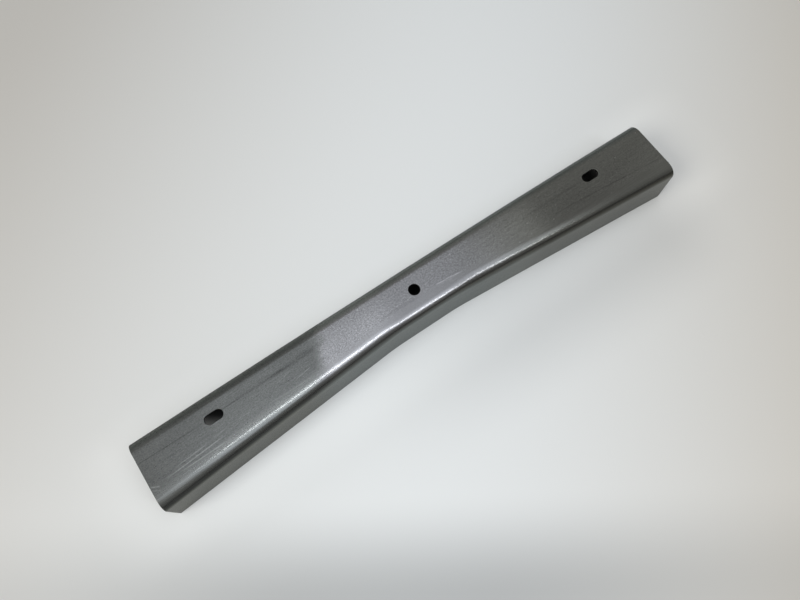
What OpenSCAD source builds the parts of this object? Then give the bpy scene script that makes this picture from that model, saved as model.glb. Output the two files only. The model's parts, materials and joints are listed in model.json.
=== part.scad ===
// Door security bar: one length of bare sheet steel pressed into a channel, open below and at
// both ends. The straight flange is only a little bowed. The other one, the waisted flange, is
// set in at mid length, and the web narrows with it.
// Frame: X along the bar, +Y towards the straight flange, Z up from the flanges' lower edges.

/* [Sheet] */
// Thickness of the steel sheet
sheet_t = 2; // [1.5:0.5:3]
// Outside radius of the two long bends
bend_r = 10; // [6:0.5:12]

/* [Channel] */
// Length of the bar
bar_len = 510; // [460:5:700]
// Outside height of the channel
bar_h = 46.5; // [40:0.5:60]
// Outside width at each end
end_w = 60; // [56:1:80]
// Outside width at mid length
waist_w = 45; // [42:1:50]
// Length of the waist's straight stretch, between the two corners of its outline
waist_len = 67; // [50:1:90]
// Outward bow of the straight flange at mid length, left by the pressing
bow = 1.6; // [0.8:0.1:3]

/* [Fixings] */
// Distance between the centres of the two end slots
slot_span = 378; // [340:1:400]
// Distance from the straight flange's outer face, at the ends, to the slots' centreline
slot_in = 20; // [18:0.5:24]
// Width of each slot
slot_w = 8.4; // [6:0.1:10]
// Length of each slot, end to end
slot_len = 16; // [12:0.5:20]
// Diameter of the centre hole, which is in the middle of the waist's width
hole_d = 10; // [6:0.5:12]

/* [Hidden] */
$fn = 96;

// Outer faces of the two flanges. The box of the whole bar is centred on Y = 0.
far_mid_y = (end_w + bow) / 2;
far_end_y = far_mid_y - bow;
near_end_y = far_end_y - end_w;
near_mid_y = far_mid_y - waist_w;

// Plan angle between the waist's straight stretch and each slanting one.
slant = atan((near_mid_y - near_end_y) / (bar_len / 2 - waist_len / 2));

// The straight flange's bow is part of a very large circle. Its radius is a whole number, so
// that its centre is exact.
bow_r = round((bar_len * bar_len / 4 + bow * bow) / (2 * bow));

// The blocks that make the channel's outer and inner forms are larger than the bar.
block_w = 2 * end_w;
block_h = 2 * bar_h;
run_out = 10;
cut = 1;

slot_y = far_end_y - slot_in;
hole_y = (far_mid_y + near_mid_y) / 2;

// Section of a block: its wall is at X = 0, its top at Y = 0, and the edge between them is
// rounded. The block lies on the +X side of its wall.
module block_section(edge_r) {
    difference() {
        translate([0, -block_h])
            square([block_w, block_h]);
        difference() {
            translate([0, -edge_r])
                square(edge_r);
            translate([edge_r, -edge_r])
                circle(edge_r);
        }
    }
}

// A block whose wall is straight and runs along X, on the +Y side of that wall.
module straight_block(edge_r) {
    rotate([90, 0, 90])
        linear_extrude(bar_len + 2 * run_out, center = true)
            block_section(edge_r);
}

// Half of a block whose wall is on the circle of the bow, from mid length to past the end.
module bowed_block(wall_r, edge_r) {
    rotate([0, 0, 90])
        rotate_extrude(angle = -asin((bar_len / 2 + run_out) / bow_r))
            translate([wall_r, 0])
                mirror([1, 0])
                    block_section(edge_r);
}

// The side of the waisted flange: three straight blocks, whose walls cross at the corners.
module waisted_side(inset) {
    edge_r = bend_r - inset;
    translate([0, near_mid_y + inset, 0])
        straight_block(edge_r);
    for (side = [0, 1])
        mirror([side, 0, 0])
            translate([waist_len / 2, near_mid_y, 0])
                rotate([0, 0, -slant])
                    translate([0, inset, 0])
                        straight_block(edge_r);
}

// The side of the straight flange, in two halves that meet at mid length.
module straight_side(inset) {
    for (side = [0, 1])
        mirror([side, 0, 0])
            translate([0, far_mid_y - bow_r, 0])
                bowed_block(bow_r - inset, bend_r - inset);
}

// The channel's form, as a solid with no underside: the outer one, or the one at an inset.
module form(inset) {
    translate([0, 0, bar_h - inset])
        intersection() {
            waisted_side(inset);
            straight_side(inset);
        }
}

// The outer form, sawn off square at both ends and at the flanges' lower edges.
module outer_form() {
    intersection() {
        form(0);
        translate([-bar_len / 2, -end_w, 0])
            cube([bar_len, 2 * end_w, bar_h + cut]);
    }
}

// A cutter for a slot along X, through the web.
module slot_cutter() {
    reach = (slot_len - slot_w) / 2;
    depth = sheet_t + 2 * cut;
    for (side = [-1, 1])
        translate([side * reach, 0, 0])
            cylinder(d = slot_w, h = depth);
    translate([-reach, -slot_w / 2, 0])
        cube([2 * reach, slot_w, depth]);
}

// The pressed channel, which is the whole bar.
module channel() {
    color("slategray")
        difference() {
            outer_form();
            form(sheet_t);
            for (side = [-1, 1])
                translate([side * slot_span / 2, slot_y, bar_h - sheet_t - cut])
                    slot_cutter();
            translate([0, hole_y, bar_h - sheet_t - cut])
                cylinder(d = hole_d, h = sheet_t + 2 * cut);
        }
}

channel();
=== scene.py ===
"""Door security bar: a pressed channel of bare sheet steel on a pale table. Metres, CAD frame."""

import json
import math

import bpy
import numpy as np
from mathutils import Matrix, Vector


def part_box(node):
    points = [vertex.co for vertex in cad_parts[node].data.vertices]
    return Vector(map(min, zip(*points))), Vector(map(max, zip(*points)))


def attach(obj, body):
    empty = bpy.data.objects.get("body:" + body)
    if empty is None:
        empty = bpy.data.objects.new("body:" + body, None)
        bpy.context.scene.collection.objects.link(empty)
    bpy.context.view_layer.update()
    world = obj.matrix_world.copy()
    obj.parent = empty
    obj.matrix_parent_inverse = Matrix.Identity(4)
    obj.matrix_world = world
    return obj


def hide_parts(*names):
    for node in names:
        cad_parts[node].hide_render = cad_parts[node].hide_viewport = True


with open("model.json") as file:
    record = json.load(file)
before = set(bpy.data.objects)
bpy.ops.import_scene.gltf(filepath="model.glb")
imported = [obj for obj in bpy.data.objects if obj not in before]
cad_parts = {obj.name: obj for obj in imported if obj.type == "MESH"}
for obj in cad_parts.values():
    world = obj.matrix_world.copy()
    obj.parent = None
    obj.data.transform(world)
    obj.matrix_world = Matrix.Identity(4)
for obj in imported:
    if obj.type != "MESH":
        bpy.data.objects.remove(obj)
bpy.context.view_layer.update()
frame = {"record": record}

MM = 0.001

# The bar's box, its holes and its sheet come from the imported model.
low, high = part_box("channel")
mounts = {m["name"]: m for m in frame["record"]["mounts"]}
slot_mount = mounts["end_slots"]
hole_mount = mounts["centre_hole"]
HALF = high.x
TOP = high.z
SHEET = hole_mount["dims"]["length_mm"] * MM

# The channel's other driving dimensions, as in the CAD model.
BEND_R = 10 * MM
END_WIDTH = 60 * MM
WAIST_WIDTH = 45 * MM
WAIST_HALF = 33.5 * MM
BOW = (high.y - low.y) - END_WIDTH
WAIST_Y = high.y - WAIST_WIDTH

# How far the waisted flange comes out per length along the bar, from the waist to an end.
SLOPE = (WAIST_Y - low.y) / (HALF - WAIST_HALF)

# How far along the bar the two corners of the waist are rounded, at the web and at the foot.
CORNER_AT_WEB = 14 * MM
CORNER_AT_FOOT = 9 * MM

# How much tighter the pressing has drawn the near bend in the waist, and how far that reaches.
WAIST_TIGHTER = 1.7 * MM
WAIST_TIGHT = (24 * MM, 50 * MM)

# Radius that shearing and tumbling leave on the cut edges, and on the punched openings. A cut
# edge's section turns from the outer face to the cut face by these shares of a quarter turn.
EDGE_R = 0.22 * MM
EDGE_TURNS = (1 / 3, 2 / 3, 1)

# The waviness that pressing leaves: its greatest depth, and the lengths of its two waves along
# the bar and along the profile.
WAVE_DEPTH = 0.06 * MM
LONG_WAVE = (97 * MM, 11 * MM)
SHORT_WAVE = (61 * MM, 17 * MM)

# Lengths along the profile, from the straight flange's foot to the waisted flange's foot.
FLANGE = TOP - BEND_R
ARC = BEND_R * math.pi / 2
WEB = END_WIDTH - 2 * BEND_R
PROFILE_PARTS = (FLANGE, ARC, WEB, ARC, FLANGE)
PROFILE_KEYS = [sum(PROFILE_PARTS[:k]) for k in range(len(PROFILE_PARTS) + 1)]

# How much of the cut edge's look reaches the rim of an opening, where its wall starts.
RIM_CUT = 0.3

# The mesh's steps: how many along each part of the profile, how long they are along the bar, and
# how far round an opening they are half as long.
PROFILE_STEPS = (10, 16, 24, 16, 12)
STATION_STEP = 2.6 * MM
OPENING_PAD = 4 * MM

# The rings of faces round an opening: how far they reach along the bar, how many of the grid's
# rows they take in across it, and where two of them lie, as shares of the way to the rim.
RING_REACH = 3.2 * MM
RING_ROWS = 2
RING_SHARES = (0.45, 0.8)


def spread(keys, counts):
    """Values from the first key to the last, each stretch between two keys in equal steps."""
    stretches = zip(keys[:-1], keys[1:], counts)
    values = [np.linspace(a, b, n, endpoint=False) for a, b, n in stretches]
    return np.append(np.concatenate(values), keys[-1])


def near_face(x, corner):
    """Y of the waisted flange's outer face at x, with its two corners rounded over +-corner."""
    t = np.abs(x) - WAIST_HALF
    rounded = (t + corner) ** 2 / (4 * corner)
    run = np.where(t <= -corner, 0.0, np.where(t >= corner, t, rounded))
    return WAIST_Y - SLOPE * run


def far_face(x):
    """Y of the straight flange's outer face at x, with its slight bow."""
    return high.y - BOW * (x / HALF) ** 2


def near_radius(x):
    """Outside radius of the near bend at x."""
    start, end = WAIST_TIGHT
    t = np.clip((np.abs(x) - start) / (end - start), 0, 1)
    return BEND_R - WAIST_TIGHTER * (1 - t * t * (3 - 2 * t))


def flat_surface(x, q):
    """Point of the outer surface at station x and profile length q, before any waviness."""
    _, bend, web, near_bend, near_flange, end = PROFILE_KEYS
    down = np.clip((q - near_flange) / FLANGE, 0, 1)
    near = near_face(x, CORNER_AT_WEB + (CORNER_AT_FOOT - CORNER_AT_WEB) * down)
    far = far_face(x)
    far_turn = (q - bend) / BEND_R
    near_turn = (q - near_bend) / BEND_R
    radius = near_radius(x)
    across = (q - web) / WEB
    web_y = (far - BEND_R) * (1 - across) + (near + radius) * across
    where = [q < bend, q < web, q < near_bend, q < near_flange]
    y = np.select(where, [
        far,
        far - BEND_R + BEND_R * np.cos(far_turn),
        web_y,
        near + radius - radius * np.sin(near_turn)], near)
    z = np.select(where, [
        q,
        TOP - BEND_R + BEND_R * np.sin(far_turn),
        TOP + 0 * q,
        TOP - radius + radius * np.cos(near_turn)], (TOP - radius) * (end - q) / FLANGE)
    return np.stack([x + 0 * q, y, z], -1)


# A direction for points whose normal isn't turned, or is turned right round.
UP = (0.0, 0.0, 1.0)


def unit(v):
    return v / np.linalg.norm(v, axis=-1, keepdims=True)


def normal_of(surface, x, q):
    step = 0.05 * MM
    along = surface(x + step, q) - surface(x - step, q)
    over = surface(x, q + step) - surface(x, q - step)
    return unit(np.cross(along, over)) * -1


def waviness(x, q):
    """How far the pressed sheet has sunk below its true form: a few hundredths of a millimetre."""
    long_wave = np.sin(2 * math.pi * x / LONG_WAVE[0] + q / LONG_WAVE[1])
    short_wave = np.sin(2 * math.pi * x / SHORT_WAVE[0] - q / SHORT_WAVE[1] + 1.3)
    return WAVE_DEPTH * (2 + long_wave + short_wave) / 4


def surface(x, q):
    """Point of the real outer surface, with its waviness, at station x and profile length q."""
    return flat_surface(x, q) - waviness(x, q)[..., None] * normal_of(flat_surface, x, q)


def web_profile(x, y):
    """Profile length of the point of the web at (x, y)."""
    far = far_face(x) - BEND_R
    near = near_face(x, CORNER_AT_WEB) + near_radius(x)
    return PROFILE_KEYS[2] + WEB * (far - y) / (far - near)


def unrolled(x, q):
    """Distance across the flat sheet, before it was bent, measured from the web's Y = 0."""
    point = flat_surface(x, np.clip(q, PROFILE_KEYS[2], PROFILE_KEYS[3]))
    before = np.clip(PROFILE_KEYS[2] - q, 0, None)
    after = np.clip(q - PROFILE_KEYS[3], 0, None)
    return point[..., 1] + before - after


def turn_of(q):
    """-1 on the straight flange, 0 on the web, 1 on the waisted flange, between on the bends."""
    far_turn = np.clip((PROFILE_KEYS[2] - q) / ARC, 0, 1)
    near_turn = np.clip((q - PROFILE_KEYS[3]) / ARC, 0, 1)
    return near_turn - far_turn


class Skin:
    """Collects the bar's points and faces. A point is given by x, q and its depth in the sheet."""

    def __init__(self):
        self.points = []
        self.normals = []
        self.sheet = []
        self.marks = []
        self.faces = []

    def add(self, x, q, depth, out, tilt, cut=0.0):
        """Adds points and gives their numbers. tilt turns the normal from the surface to out."""
        x, q, depth = np.broadcast_arrays(*(np.asarray(v, float) for v in (x, q, depth)))
        normal = normal_of(surface, x, q)
        square = normal * [0, 1, 1]
        inward = square / (square ** 2).sum(-1, keepdims=True)
        point = surface(x, q) - inward * depth[..., None]
        turned = unit(normal * math.cos(tilt) + np.asarray(out) * math.sin(tilt))
        first = len(self.points)
        flat = x.size
        self.points += list(point.reshape(flat, 3))
        self.normals += list(turned.reshape(flat, 3))
        across = unrolled(x, q)
        self.sheet += list(np.stack([x, across], -1).reshape(flat, 2))
        marks = np.stack([depth / SHEET, np.full(x.shape, cut), turn_of(q)], -1)
        self.marks += list(marks.reshape(flat, 3))
        return np.arange(first, first + flat).reshape(x.shape)

    def bridge(self, a, b):
        """Faces between two closed loops of points with the same count."""
        for k in range(len(a)):
            n = (k + 1) % len(a)
            self.faces.append((b[k], b[n], a[n], a[k]))


def edge_loops():
    """(inset, depth, tilt) of each loop round a cut edge, from the outer face to the inner."""
    loops = []
    for share in EDGE_TURNS:
        a = share * math.pi / 2
        loops.append((EDGE_R * (1 - math.sin(a)), EDGE_R * (1 - math.cos(a)), a))
    mirrored = [(inset, SHEET - depth, math.pi - tilt) for inset, depth, tilt in loops]
    return loops + mirrored[::-1]


def rectangle(i0, i1, j0, j1):
    """Grid places round a rectangle, in order, each place once."""
    return ([(i, j0) for i in range(i0, i1)] + [(i1, j) for j in range(j0, j1)]
            + [(i, j1) for i in range(i1, i0, -1)] + [(i0, j) for j in range(j1, j0, -1)])


def add_opening(skin, xs, qs, outer, inner, centre, reach, radius):
    """A slot (or a round hole, with reach 0) in the web: rings round it, and its wall."""
    cx, cy = centre
    margin = radius + RING_REACH
    i0 = int(np.searchsorted(xs, cx - reach - margin))
    i1 = int(np.searchsorted(xs, cx + reach + margin)) - 1
    rows = web_profile(np.full(2, cx), np.array([cy + radius, cy - radius]))
    j0 = int(np.searchsorted(qs, rows[0])) - RING_ROWS
    j1 = int(np.searchsorted(qs, rows[1])) + RING_ROWS - 1
    ring = rectangle(i0, i1, j0, j1)
    start = np.array([flat_surface(xs[i], qs[j])[:2] for i, j in ring])
    axis_x = np.clip(start[:, 0], cx - reach, cx + reach)
    axis = np.stack([axis_x, np.full(len(ring), cy)], 1)
    ray = start - axis
    away = np.linalg.norm(ray, axis=1)[:, None]
    ray = ray / away
    out = np.column_stack([-ray, np.zeros(len(ring))])

    def loop(distance, depth, tilt, cut):
        spot = axis + ray * distance
        q = web_profile(spot[:, 0], spot[:, 1])
        return skin.add(spot[:, 0], q, depth, out, tilt, cut)

    rim = radius + EDGE_R
    rings = [away + (rim - away) * share for share in RING_SHARES]
    loops = [loop(distance, 0, 0, 0) for distance in rings]
    loops += [loop(rim, 0, 0, RIM_CUT)]
    loops += [loop(radius + inset, depth, tilt, 1) for inset, depth, tilt in edge_loops()]
    loops += [loop(rim, SHEET, math.pi, RIM_CUT)]
    loops += [loop(distance, SHEET, math.pi, 0) for distance in rings[::-1]]
    last = [outer[i, j] for i, j in ring]
    for now in loops + [[inner[i, j] for i, j in ring]]:
        skin.bridge(last, now)
        last = now
    return i0, i1, j0, j1


def station_places(slot_x, slot_pad, hole_pad):
    """X of every station, from end to end."""
    keys = [-HALF + EDGE_R, -slot_x - slot_pad, -slot_x + slot_pad, -hole_pad]
    keys = keys + [-k for k in keys[::-1]]
    counts = [round((b - a) / STATION_STEP) for a, b in zip(keys[:-1], keys[1:])]
    # The slots and the hole are in the second, fourth and sixth stretch.
    for opening in (1, 3, 5):
        counts[opening] *= 2
    return spread(keys, counts)


def add_grid_faces(skin, outer, inner, holes):
    """The faces of both sides of the sheet, but for the places taken by the openings."""
    last_i, last_j = (count - 1 for count in outer.shape)
    for i in range(last_i):
        for j in range(last_j):
            if any(i0 <= i < i1 and j0 <= j < j1 for i0, i1, j0, j1 in holes):
                continue
            a, b, c, d = (i, j), (i + 1, j), (i + 1, j + 1), (i, j + 1)
            skin.faces.append((outer[d], outer[c], outer[b], outer[a]))
            skin.faces.append((inner[a], inner[b], inner[c], inner[d]))


def add_cut_edge(skin, xs, qs, outer, inner):
    """The cut edge all round the sheet, from the outer face to the inner one."""
    last_i, last_j = len(xs) - 1, len(qs) - 1
    ring = rectangle(0, last_i, 0, last_j)
    base_x = np.array([xs[i] for i, j in ring])
    base_q = np.array([qs[j] for i, j in ring])
    # Which way is off the sheet, along x and along q, at each place of the ring.
    off_x = np.array([(i == last_i) - (i == 0) for i, j in ring], float)
    off_q = np.array([(j == last_j) - (j == 0) for i, j in ring], float)
    out = unit(np.column_stack([off_x, 0 * base_x, -np.abs(off_q)]))
    last = [outer[i, j] for i, j in ring]
    for inset, depth, tilt in edge_loops():
        step = EDGE_R - inset
        now = skin.add(base_x + off_x * step, base_q + off_q * step, depth, out, tilt, 1)
        skin.bridge(now, last)
        last = now
    skin.bridge([inner[i, j] for i, j in ring], last)


def build_channel_mesh():
    """The whole skin of the bar: outer face, inner face, cut edges and openings, closed."""
    slot_x = slot_mount["dims"]["spacing_x_mm"] * MM / 2
    slot_y = slot_mount["pos_m"][1]
    slot_r = slot_mount["dims"]["hole_r_mm"] * MM
    slot_reach = slot_mount["dims"]["slot_length_mm"] * MM / 2 - slot_r
    hole_y = hole_mount["pos_m"][1]
    hole_r = hole_mount["dims"]["r_mm"] * MM
    xs = station_places(slot_x, slot_reach + slot_r + OPENING_PAD, hole_r + OPENING_PAD)
    qs = spread([EDGE_R] + PROFILE_KEYS[1:-1] + [PROFILE_KEYS[-1] - EDGE_R], PROFILE_STEPS)

    skin = Skin()
    grid_x, grid_q = np.meshgrid(xs, qs, indexing="ij")
    outer = skin.add(grid_x, grid_q, 0, UP, 0)
    inner = skin.add(grid_x, grid_q, SHEET, UP, math.pi)
    openings = [
        ((-slot_x, slot_y), slot_reach, slot_r),
        ((slot_x, slot_y), slot_reach, slot_r),
        ((0.0, hole_y), 0.0, hole_r)]
    holes = [add_opening(skin, xs, qs, outer, inner, *each) for each in openings]
    add_grid_faces(skin, outer, inner, holes)
    add_cut_edge(skin, xs, qs, outer, inner)
    return skin


def make_channel():
    skin = build_channel_mesh()
    mesh = bpy.data.meshes.new("channel_skin")
    # The grid's points inside an opening belong to no face, and are left out.
    faces = np.array(skin.faces, int)
    used, places = np.unique(faces, return_inverse=True)
    faces = places.reshape(faces.shape)
    points, normals, sheet, marks = (
        np.array(rows)[used] for rows in (skin.points, skin.normals, skin.sheet, skin.marks))
    # The waviness may lean a point out of the box by a few thousandths of a millimetre.
    points = np.clip(points, low, high)
    mesh.from_pydata(points.tolist(), [], faces.tolist())
    mesh.polygons.foreach_set("use_smooth", [True] * len(mesh.polygons))
    mesh.normals_split_custom_set_from_vertices(normals.tolist())
    corners = np.zeros(len(mesh.loops), int)
    mesh.loops.foreach_get("vertex_index", corners)
    mesh.uv_layers.new(name="sheet").data.foreach_set("uv", sheet[corners].ravel())
    for column, name in enumerate(("depth", "cut", "turn")):
        layer = mesh.attributes.new(name, "FLOAT", "POINT")
        layer.data.foreach_set("value", marks[:, column])
    mesh.validate()
    piece = bpy.data.objects.new("channel_skin", mesh)
    bpy.context.scene.collection.objects.link(piece)
    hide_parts("channel")
    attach(piece, "root")
    return piece


class Graph:
    """Makes the nodes of a material or the room. A value is a number or another node's output."""

    def __init__(self, tree):
        self.tree = tree

    def node(self, kind, **settings):
        node = self.tree.nodes.new("ShaderNode" + kind)
        for name, value in settings.items():
            setattr(node, name, value)
        return node

    def feed(self, socket, value):
        if isinstance(value, bpy.types.NodeSocket):
            self.tree.links.new(value, socket)
        else:
            socket.default_value = value

    def math(self, operation, a, b=0.0, c=0.0):
        node = self.node("Math", operation=operation)
        for socket, value in zip(node.inputs, (a, b, c)):
            self.feed(socket, value)
        return node.outputs[0]

    def add(self, a, b):
        return self.math("ADD", a, b)

    def less(self, a, b):
        return self.math("SUBTRACT", a, b)

    def times(self, a, b):
        return self.math("MULTIPLY", a, b)

    def absolute(self, value):
        return self.math("ABSOLUTE", value)

    def total(self, *terms):
        """The sum of several (value, weight) pairs."""
        value = 0.0
        for part, weight in terms:
            value = self.math("MULTIPLY_ADD", part, weight, value)
        return value

    def band(self, value, start, end, low=0.0, high=1.0):
        """Goes smoothly from low, where value is start, to high, where it is end."""
        node = self.node("MapRange", interpolation_type="SMOOTHSTEP")
        for socket, number in zip(node.inputs, (value, start, end, low, high)):
            self.feed(socket, number)
        return node.outputs[0]

    def stretch(self, value, start, full, fade, end):
        """Sets in where value is start, is 1 from full to fade, and is 0 again from end on."""
        return self.times(self.band(value, start, full), self.band(value, end, fade))

    def dimmed(self, shade, place, amount):
        """Shade, made darker (or, with an amount below 0, brighter) where place is 1."""
        return self.times(shade, self.less(1.0, self.times(place, amount)))

    def mix(self, factor, a, b):
        node = self.node("Mix", data_type="RGBA")
        self.feed(node.inputs["Factor"], factor)
        self.feed(node.inputs["A"], a)
        self.feed(node.inputs["B"], b)
        return node.outputs["Result"]

    def scaled(self, colour, shade):
        node = self.node("VectorMath", operation="SCALE")
        self.feed(node.inputs[0], colour)
        self.feed(node.inputs["Scale"], shade)
        return node.outputs[0]

    def millimetres(self, vector, axes):
        """The asked-for parts, out of XYZ, of a vector that is given in metres."""
        parts = self.node("SeparateXYZ")
        self.feed(parts.inputs[0], vector)
        return [self.times(parts.outputs[axis], 1 / MM) for axis in axes]

    def noise(self, x, y, z, detail):
        """Noise about 0, from about -1 to 1, with features about one unit of x, y and z long."""
        place = self.node("CombineXYZ")
        for socket, value in zip(place.inputs, (x, y, z)):
            self.feed(socket, value)
        node = self.node("TexNoise")
        self.feed(node.inputs["Vector"], place.outputs[0])
        node.inputs["Scale"].default_value = 1
        node.inputs["Detail"].default_value = detail
        node.inputs["Roughness"].default_value = 0.5
        return self.math("MULTIPLY_ADD", node.outputs["Fac"], 3.2, -1.6)


def principled(name):
    material = bpy.data.materials.new(name)
    material.use_nodes = True
    return material, material.node_tree.nodes["Principled BSDF"]


# Reflectance of the steel: where it is dull, towards each end, and where it is clean. The tones of
# the far bend and of the waisted flange, in its middle and towards each end, are painted reflection:
# they stand in for part of what these faces mirror.
STEEL_LEFT = (0.236, 0.242, 0.232, 1)
STEEL_RIGHT = (0.240, 0.242, 0.222, 1)
STEEL_CLEAN = (0.243, 0.2405, 0.242, 1)
FAR_BEND_PAINTED_TONE = (0.226, 0.244, 0.230, 1)
FLANGE_PAINTED_TONE = (0.234, 0.250, 0.240, 1)
FLANGE_PAINTED_TONE_LEFT = (0.232, 0.235, 0.211, 1)
FLANGE_PAINTED_TONE_RIGHT = (0.268, 0.272, 0.250, 1)

# The share of a plain metal's reflectance that is left at 82 degrees from the normal.
STEEL_GRAZING = 0.62

# Height of the grain's and the scratches' relief.
RELIEF_HEIGHT = 0.007 * MM

# The sheet's patterns: how long along the bar and how wide across it their features are, in mm,
# then the detail and the seed of the noise. On the inner face the seed is shifted.
PATTERNS = {
    "streaks": (160, 2.6, 3, 1.0),
    "fine_streaks": (22, 0.8, 3, 2.0),
    "mottling": (3.2, 2.6, 3, 3.0),
    "grain": (1.6, 1.3, 2, 4.0),
    "clouds": (46, 20, 3, 5.0),
    "ragged_border": (14, 9, 3, 6.0),
    "fine_grain": (0.85, 0.75, 2, 7.0)}
INNER_SHIFT = 7.3

# Zones along the profile, by their turn as turn_of gives it: where each sets in, is full, starts
# to fade and has faded. They mostly carry painted light and shade: the shade below the near bend's
# highlight, on the far bend and on its rim, and the highlight on the near bend.
ZONES = {
    "near_bend": (0.02, 0.2, 0.85, 1.0),
    "below_bend": (0.43, 0.59, 0.66, 1.02),
    "far_bend": (-0.05, -0.35, -0.85, -1.05),
    "painted_far_rim_shade": (-0.45, -0.72, -0.92, -1.0)}

# Where the film of oil ends, in mm from the bar's middle, how much that border leans, and how
# ragged it is, in mm.
FILM_END = -96.0
FILM_LEAN = 0.5
FILM_RAGGED = 7.0

# Marks of handling on the outer face, in millimetres on the flat sheet: where each starts and
# ends, how wide it is, and how much it darkens (below 0) or brightens (above 0) the steel.
SCRIBED_LINES = [
    ((-254, 9.8), (-199, 9.4), 0.8, -0.34), ((-181, 10.6), (-166, 10.9), 0.9, -0.34),
    ((-168, 11.2), (-120, 11.6), 2.2, -0.22), ((-135, 11.5), (-92, 11.8), 2.6, -0.26),
    ((254, -12.6), (205, -8.2), 0.9, -0.18), ((208, -8.4), (157, -4.0), 0.9, -0.26),
    ((160, -4.2), (140, -3.0), 1.0, -0.18), ((185, 9.2), (120, 9.6), 1.8, -0.12)]
RUB_MARKS = [
    ((-238, -11.6), (-194, -8.4), 0.8, 0.85), ((-231, -8.2), (-206, -6.2), 0.8, 0.55),
    ((-226, -13.4), (-192, -12.8), 0.9, 0.55),
    ((-196, -5.6), (-184, -3.0), 1.0, 0.24), ((-173, -3.0), (-163, -3.5), 0.8, 0.28),
    ((-176, 17.6), (-168, 18.3), 0.8, 0.20), ((-148, -6.0), (-112, -7.0), 1.0, 0.20),
    ((-120, -1.5), (-106, 0.8), 0.7, 0.38), ((-134, 4.4), (-123, 6.4), 0.7, 0.32),
    ((-254, -11.0), (-248, -13.8), 1.1, 0.75), ((-254, -13.6), (-249, -16.6), 0.9, 0.40),
    ((18, 1.8), (26, 0.8), 0.7, 0.50), ((27, 1.3), (41, -0.7), 0.7, 0.60),
    ((17, 0.6), (36, -0.9), 1.6, 0.12), ((-36, 2.4), (-2, 1.2), 2.2, -0.13),
    ((-118, 14.2), (-92, 13.2), 1.6, -0.09)]
SPOTS = [((212, -9.0), 1.3, -0.4), ((-214, -9.3), 1.5, 0.35), ((-252, -12.2), 1.2, 0.24),
         ((-68, 2.0), 1.2, 0.16), ((84, 11.0), 1.0, -0.18), ((30, -1.2), 2.4, 0.10),
         ((-31, 12.0), 0.9, 0.14), ((52, 2.2), 1.0, 0.16), ((-104, -2.0), 1.1, -0.16)]

# Painted sheen: stretches along the bar, in mm, where the web and the upper part of the near bend
# are painted brighter (above 0) or duller (below 0), in place of their reflections: where each sets
# in, is full, starts to fade and has faded.
PAINTED_SHEEN = [(-103, -89, -48, -14, 0.34), (48, 84, 104, 136, 0.19), (110, 146, 156, 262, -0.21)]

# The same for the near bend alone: its painted highlight, brighter (above 0) or duller (below 0).
BEND_PAINTED_SHEEN = [(-28, -8, 12, 44, 0.30), (58, 84, 102, 122, -0.18), (112, 138, 150, 205, 0.30),
              (-262, -250, -236, -215, 0.12)]


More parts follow.
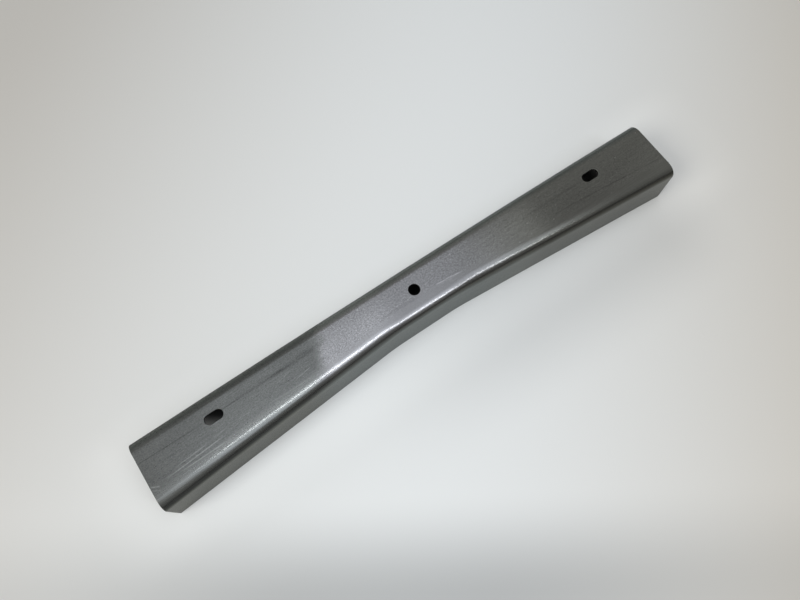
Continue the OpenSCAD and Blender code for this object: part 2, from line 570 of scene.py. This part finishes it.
class SteelGraph(Graph):
    """The nodes of the steel. x and y are in mm on the flat sheet, and height is above the table.

    depth is 0 on the outer face and 1 on the inner one, cut is 1 on the cut edges, and turn is
    as turn_of gives it.
    """

    def __init__(self, tree):
        super().__init__(tree)
        sheet = self.node("UVMap", uv_map="sheet").outputs[0]
        self.x, self.y = self.millimetres(sheet, "XY")
        self.height = self.millimetres(self.node("TexCoord").outputs["Object"], "Z")[0]
        self.depth = self.attribute("depth")
        self.cut = self.attribute("cut")
        self.turn = self.attribute("turn")
        self.outer = self.band(self.depth, 0.5, 0.0)
        self.pattern = {name: self.field(*numbers) for name, numbers in PATTERNS.items()}
        self.zone = {name: self.stretch(self.turn, *numbers) for name, numbers in ZONES.items()}
        self.past_border = self.total((self.pattern["ragged_border"], -FILM_RAGGED),
                                      (self.y, -FILM_LEAN), (self.x, 1.0), (-FILM_END, 1.0))
        self.film = self.oil_film()
        self.clean = self.clean_middle()
        self.calm = self.calm_bend()
        self.marks = self.handling_marks()
        self.scratches = self.times(self.pattern["fine_streaks"],
                                    self.band(self.clean, 0, 1, 0.15, 0.012))

    def attribute(self, name):
        return self.node("Attribute", attribute_name=name).outputs["Fac"]

    def field(self, along, across, detail, seed):
        layer = self.math("MULTIPLY_ADD", self.depth, INNER_SHIFT, seed)
        return self.noise(self.times(self.x, 1 / along), self.times(self.y, 1 / across),
                          layer, detail)

    def oil_film(self):
        """From the left end to its border, thinner on the far side, none along the near bend."""
        bend_line = self.math("MULTIPLY_ADD", self.x, -SLOPE, self.y)
        film = self.times(self.band(self.past_border, 7, -7), self.band(bend_line, -5, 6))
        film = self.times(film, self.band(self.x, -246, -196, 0.77, 1.0))
        film = self.times(film, self.outer)
        far_side = self.times(self.band(self.turn, -0.6, -0.1, 0.55, 1.0),
                              self.band(self.turn, -1, -0.8, 0.5, 1))
        return self.times(film, far_side)

    def clean_middle(self):
        """The middle of the web, past the film's border, has a more open and brighter grain."""
        clean = self.times(self.band(self.past_border, -6, 6), self.band(self.x, 130, 20))
        clean = self.times(clean, self.band(self.turn, -0.3, 0.0))
        return self.times(clean, self.band(self.turn, 0.6, 0.3))

    def calm_bend(self):
        """The near bend and the web beside it, which the pressing has smoothed."""
        bend_line = self.math("MULTIPLY_ADD", self.absolute(self.x), SLOPE, self.y)
        return self.times(self.band(bend_line, 6, -2), self.band(self.turn, 1.0, 0.85))

    def line_mark(self, start, end, width, strength):
        """Strength along a soft line on the sheet, and 0 away from it."""
        run = Vector(end) - Vector(start)
        way = run.normalized()
        along = self.add(self.times(self.x, way.x), self.times(self.y, way.y))
        along = self.less(along, way.dot(Vector(start)))
        side = self.add(self.times(self.x, -way.y), self.times(self.y, way.x))
        side = self.less(side, -way.y * start[0] + way.x * start[1])
        fade = 0.18 * run.length
        ends = self.stretch(along, -fade, fade, run.length - fade, run.length + fade)
        near = self.band(self.absolute(side), width, 0)
        return self.times(self.times(near, ends), strength)

    def spot_mark(self, centre, radius, strength):
        dx = self.less(self.x, centre[0])
        dy = self.less(self.y, centre[1])
        away = self.math("SQRT", self.add(self.times(dx, dx), self.times(dy, dy)))
        return self.times(self.band(away, radius, 0), strength)

    def handling_marks(self):
        """All the scribed lines, rub marks and spots together, broken up by the fine streaks."""
        marks = 0.0
        for line in SCRIBED_LINES + RUB_MARKS:
            marks = self.add(marks, self.line_mark(*line))
        for spot in SPOTS:
            marks = self.add(marks, self.spot_mark(*spot))
        broken = self.band(self.pattern["fine_streaks"], -1.0, 0.2, 0.45, 1.0)
        return self.times(self.times(marks, broken), self.outer)

    def painted_sheen_along(self, stretches):
        # Painted sheen: each stretch's strength, added up.
        sheen = 0.0
        for *places, strength in stretches:
            stretch = self.stretch(self.x, *places)
            sheen = self.math("MULTIPLY_ADD", stretch, strength, sheen)
        return sheen

    def web_painted_sheen(self):
        """The painted sheen: brighter and duller stretches, half as strong near the far bend."""
        upper = self.band(self.absolute(self.turn), 0.7, 0.2)
        sheen = self.times(self.painted_sheen_along(PAINTED_SHEEN), self.times(upper, self.outer))
        return self.times(sheen, self.band(self.y, 22, 6, 0.5, 1.0))

    def bend_painted_sheen(self):
        # Painted highlight on the upper half of the near bend.
        upper_half = self.times(self.zone["near_bend"], self.band(self.turn, 0.57, 0.42))
        return self.times(self.painted_sheen_along(BEND_PAINTED_SHEEN), upper_half)

    def texture(self):
        """The shade before any place is dimmed: about 1, with the patterns and the marks."""
        lively = self.times(self.band(self.clean, 0, 1, 0.9, 1.14),
                            self.band(self.calm, 0, 1, 1.0, 0.22))
        specks = self.times(self.band(self.pattern["fine_grain"], 0.45, 1.1),
                            self.band(self.clean, 0, 1, 0.1, 0.35))
        small = self.total((self.pattern["mottling"], 0.10), (self.pattern["grain"], 0.25),
                           (self.pattern["fine_grain"], 0.32), (specks, 1.0))
        return self.total((self.pattern["streaks"], 0.035), (self.pattern["clouds"], 0.06),
                          (self.scratches, 1.0), (small, lively), (self.marks, 1.0),
                          (1.0, 0.985))

    def shade(self):
        """How bright the steel is, as a share of its tone, with painted light and shade."""
        # Painted shade: the lower part of the near bend and the waisted flange darken towards the
        # ends.
        towards_ends = self.band(self.absolute(self.add(self.x, -2)), 85, 130)
        lower = self.times(self.band(self.turn, 0.47, 0.67), towards_ends)
        # Something dark in front of the bar is mirrored just below the near bend's highlight.
        below_bend = self.times(self.zone["below_bend"],
                                self.band(towards_ends, 0, 1, 0.50, 0.57))
        # Painted shade along the foot of the waisted flange, next to the table.
        painted_foot_shade = self.times(self.band(self.turn, 0.98, 1.0), self.band(self.height, 7, 0.5))
        # Painted shade on the inner face, inside the channel.
        inner = self.band(self.depth, 0.5, 1.0)
        # Each place, and how much it darkens the steel (below 0, brightens it). All but the film and
        # the
        # cut edges are painted light and shade: the painted sheen and highlight, and painted shade
        # on the far bend and its rim, towards the ends, below the highlight, at the foot and on the
        # inner face.
        places = [
            (self.film, 0.385),
            (self.web_painted_sheen(), -1.0),
            (self.bend_painted_sheen(), -1.0),
            # Painted shade on the far bend, and more on its rim.
            (self.zone["far_bend"], 0.12),
            (self.zone["painted_far_rim_shade"], 0.62),
            (lower, 0.17),
            (below_bend, 1.0),
            (painted_foot_shade, 0.15),
            (self.cut, 0.25),
            (inner, 0.65)]
        shade = self.texture()
        for place, amount in places:
            shade = self.dimmed(shade, place, amount)
        return shade

    def tone(self):
        tone = self.mix(self.band(self.x, -60, 130), STEEL_LEFT, STEEL_RIGHT)
        tone = self.mix(self.clean, tone, STEEL_CLEAN)
        # Painted reflection: the far bend's own tone.
        tone = self.mix(self.zone["far_bend"], tone, FAR_BEND_PAINTED_TONE)
        # Painted reflection: the waisted flange's tones, darker at the left end and brighter at the
        # right.
        flange = self.mix(self.band(self.x, -85, -130), FLANGE_PAINTED_TONE, FLANGE_PAINTED_TONE_LEFT)
        flange = self.mix(self.band(self.x, 40, 140), flange, FLANGE_PAINTED_TONE_RIGHT)
        return self.mix(self.band(self.turn, 0.6, 0.95), tone, flange)

    def roughness(self):
        return self.total((self.pattern["streaks"], 0.012), (self.pattern["mottling"], 0.014),
                          (self.film, 0.03), (self.cut, 0.16),
                          (self.zone["near_bend"], -0.04), (1.0, 0.26))

    def relief(self):
        """The normal, with a relief of grain and scratches a few micrometres high."""
        height = self.total((self.pattern["grain"], 0.5), (self.pattern["fine_grain"], 0.3),
                            (self.scratches, 3.0), (self.pattern["mottling"], 0.3),
                            (self.marks, -2.0))
        bump = self.node("Bump")
        self.feed(bump.inputs["Strength"], self.band(self.calm, 0, 1, 1.0, 0.08))
        bump.inputs["Distance"].default_value = RELIEF_HEIGHT
        self.feed(bump.inputs["Height"], height)
        return bump.outputs[0]


def make_steel():
    """Bare cold-rolled sheet: rolling streaks, a dull film of oil, mottling, scribed lines, rubs,
    and painted light and shade.
    """
    material, shader = principled("bare_steel")
    g = SteelGraph(material.node_tree)
    g.feed(shader.inputs["Base Color"], g.scaled(g.tone(), g.shade()))
    g.feed(shader.inputs["Roughness"], g.roughness())
    g.feed(shader.inputs["Normal"], g.relief())
    # Rolling along the bar stretches the reflections across it.
    tangent = g.node("Tangent", direction_type="UV_MAP", uv_map="sheet")
    g.feed(shader.inputs["Tangent"], tangent.outputs[0])
    shader.inputs["Metallic"].default_value = 1
    shader.inputs["Specular Tint"].default_value = (STEEL_GRAZING,) * 3 + (1,)
    shader.inputs["Anisotropic"].default_value = 0.5
    shader.inputs["Anisotropic Rotation"].default_value = 0.25
    return material


# The table reaches so far that its edge passes for the horizon. It lies a little below the bar's
# feet, so that the two don't coincide.
TABLE_HALF = 40.0
TABLE_GAP = 0.05 * MM

# The table's tone, with a painted glow: near the bar it is brightest along a line, and dim far to
# both sides of it.
# Between the two distances of TABLE_NEAR the tone becomes even. A line is given by its direction
# across, in radians from +X, and its distance, and all distances are in mm from the bar's middle.
TABLE_PAINTED_GLOW = (0.836, 0.855, 0.850, 1)
TABLE_PAINTED_DIM_LEFT = (0.550, 0.524, 0.482, 1)
TABLE_PAINTED_DIM_RIGHT = (0.588, 0.524, 0.430, 1)
TABLE_EVEN = (0.66, 0.66, 0.64, 1)
TABLE_MIDDLE = (-0.751, -10)
TABLE_REACH = 580
TABLE_NEAR = (800, 470)

# Painted shadow: in front of the bar the table is painted dimmer, and less so to the sides.
FRONT_LINE = (1.015, 151)
FRONT_REACH = 83
FRONT_ASIDE = (60, 330)
FRONT_AMOUNT = (0.43, 0.18)

# Painted shade: under the bar the table is painted dark, but for the left end.
UNDER_LINE = (0.966, 103.5)
UNDER_REACH = 14
UNDER_RIGHT_END = (240, 215)
UNDER_ACROSS = (-10, -4, 27, 28.5)
UNDER_AMOUNT = 0.95

# Painted light: round the bar the table is painted a little lighter, which fades out along the bar
# and across it.
ROUND_MIDDLE = 15
ROUND_ALONG = (345, 272)
ROUND_ACROSS = (75, 38)
ROUND_AMOUNT = -0.09

# The right half shades the table in front of it a little.
SHADOW_ALONG = (-120, 90, 225, 300)
SHADOW_ACROSS = (-10, -30, -60, -135)
SHADOW_AMOUNT = 0.15


def make_table_top():
    """A pale, plain top whose tone changes softly with the place: a painted glow along a line, and
    painted shadow and light round the bar.
    """
    material, shader = principled("table_top")
    g = Graph(material.node_tree)
    place = g.node("TexCoord").outputs["Object"]
    x, y = g.millimetres(place, "XY")
    away = g.node("VectorMath", operation="LENGTH")
    g.feed(away.inputs[0], place)
    near = g.band(g.times(away.outputs["Value"], 1 / MM), *TABLE_NEAR)

    def beyond(turn, distance):
        """Distance in mm across a line, on the side that turn points to."""
        return g.total((x, math.cos(turn)), (y, math.sin(turn)), (distance, 1.0))

    # Painted glow: brightest along a line, dim to both sides, even far away.
    rightwards = beyond(*TABLE_MIDDLE)
    aside = g.absolute(rightwards)
    dim = g.mix(g.band(rightwards, 0, 200), TABLE_PAINTED_DIM_LEFT, TABLE_PAINTED_DIM_RIGHT)
    tone = g.mix(g.band(aside, 0, TABLE_REACH), TABLE_PAINTED_GLOW, dim)
    tone = g.mix(near, TABLE_EVEN, tone)

    # Painted shadow in front of the bar.
    front = g.times(g.band(beyond(*FRONT_LINE), 0, -FRONT_REACH), near)
    painted_under_shade = g.times(g.band(beyond(*UNDER_LINE), 0, UNDER_REACH), g.band(x, *UNDER_RIGHT_END))
    painted_under_shade = g.times(painted_under_shade, g.stretch(y, *UNDER_ACROSS))
    painted_round_light = g.times(g.band(g.absolute(g.less(x, ROUND_MIDDLE)), *ROUND_ALONG),
                     g.band(g.absolute(y), *ROUND_ACROSS))
    shadow = g.times(g.stretch(x, *SHADOW_ALONG), g.stretch(y, *SHADOW_ACROSS))
    shade = g.dimmed(1.0, front, g.band(aside, *FRONT_ASIDE, *FRONT_AMOUNT))
    shade = g.dimmed(shade, painted_under_shade, UNDER_AMOUNT)
    shade = g.dimmed(shade, painted_round_light, ROUND_AMOUNT)
    shade = g.dimmed(shade, shadow, SHADOW_AMOUNT)
    g.feed(shader.inputs["Base Color"], g.scaled(tone, shade))
    shader.inputs["Roughness"].default_value = 0.5
    return material


def make_table():
    z = low.z - TABLE_GAP
    corners = [(x * TABLE_HALF, y * TABLE_HALF, z) for x, y in ((-1, -1), (1, -1), (1, 1), (-1, 1))]
    mesh = bpy.data.meshes.new("table_top")
    mesh.from_pydata(corners, [], [(0, 1, 2, 3)])
    mesh.materials.append(make_table_top())
    table = bpy.data.objects.new("table_top", mesh)
    bpy.context.scene.collection.objects.link(table)


# The camera: how far it is turned from +Y towards +X, how steeply it looks down, its roll, its
# focal length in mm, and how far it is from where its axis meets the table, and that place, with
# the middle of the bar's box as the origin.
CAMERA_TURN = math.radians(34.630)
CAMERA_DOWN = math.radians(70.852)
CAMERA_ROLL = math.radians(-0.394)
CAMERA_LENS = 30.659
CAMERA_DISTANCE = 0.61103
CAMERA_AIM = Vector((-5.78 * MM, 20.57 * MM, 0))


def make_camera():
    ahead = Vector((math.sin(CAMERA_TURN) * math.cos(CAMERA_DOWN),
                    math.cos(CAMERA_TURN) * math.cos(CAMERA_DOWN),
                    -math.sin(CAMERA_DOWN)))
    data = bpy.data.cameras.new("camera")
    data.lens = CAMERA_LENS
    data.sensor_width = 36
    data.clip_start = 0.01
    data.clip_end = 50
    camera = bpy.data.objects.new("camera", data)
    bpy.context.scene.collection.objects.link(camera)
    turn = ahead.to_track_quat("-Z", "Y").to_matrix().to_4x4()
    roll = Matrix.Rotation(-CAMERA_ROLL, 4, "Z")
    camera.matrix_world = Matrix.Translation(CAMERA_AIM - ahead * CAMERA_DISTANCE) @ turn @ roll
    bpy.context.scene.camera = camera


# Brightness of the room's ceiling and walls, as seen in each direction, and their colour.
ROOM_WALLS = {"ceiling": (0, 0, 1, 0.41), "right": (1, 0, 0, 0.16), "left": (-1, 0, 0, 0.50),
              "far": (0, 1, 0, 0.36), "near": (0, -1, 0, 0.16), "below": (0, 0, -1, 0.20)}
ROOM_COLOUR = (1, 1, 0.985, 1)


def make_room():
    """The room's own light: each wall adds its brightness with the square of its cosine."""
    world = bpy.data.worlds.new("room")
    world.use_nodes = True
    g = Graph(world.node_tree)
    way = g.node("TexCoord").outputs["Generated"]
    walls = []
    for *towards, brightness in ROOM_WALLS.values():
        cosine = g.node("VectorMath", operation="DOT_PRODUCT")
        g.feed(cosine.inputs[0], way)
        g.feed(cosine.inputs[1], towards)
        facing = g.math("MAXIMUM", cosine.outputs["Value"], 0)
        walls.append((g.times(facing, facing), brightness))
    background = world.node_tree.nodes["Background"]
    g.feed(background.inputs["Strength"], g.total(*walls))
    g.feed(background.inputs["Color"], ROOM_COLOUR)
    bpy.context.scene.world = world


# The lights: the middle, the width and length, the turn about Z in degrees, the brightness and
# the colour. The glow and the strip are what the bar mirrors. The strip hangs a little lower, so
# that the two don't coincide. The left panel is too far to the side to be mirrored towards the
# camera, and lights the table.
CEILING = 1.841
STRIP_DROP = 0.03
COOL = (0.93, 1.0, 1.12)
WHITE = (0.97, 1.0, 1.05)
WARM = (1.02, 1.0, 0.95)
LIGHTS = {
    "soft_glow": ((0.135, -0.441, CEILING), (1.364, 2.034), 11.5, 0.95, COOL),
    "strip": ((0.285, -0.767, CEILING - STRIP_DROP), (0.06, 2.39), 34.4, 14.0, WHITE),
    "left_panel": ((-2.2, -0.10, CEILING), (1.8, 1.3), 0, 5.6, WARM)}


def make_lights():
    for name, (middle, size, turn, brightness, colour) in LIGHTS.items():
        data = bpy.data.lights.new(name, "AREA")
        data.shape = "RECTANGLE"
        data.size, data.size_y = size
        # The power at which a rectangle of this size has this brightness.
        data.energy = brightness * math.pi * size[0] * size[1]
        data.color = colour
        light = bpy.data.objects.new(name, data)
        bpy.context.scene.collection.objects.link(light)
        aim = Matrix.Rotation(math.radians(turn), 4, "Z")
        light.matrix_world = Matrix.Translation(middle) @ aim


channel = make_channel()
channel.data.materials.append(make_steel())
make_table()
make_camera()
make_room()
make_lights()
bpy.context.scene.view_settings.view_transform = "Standard"
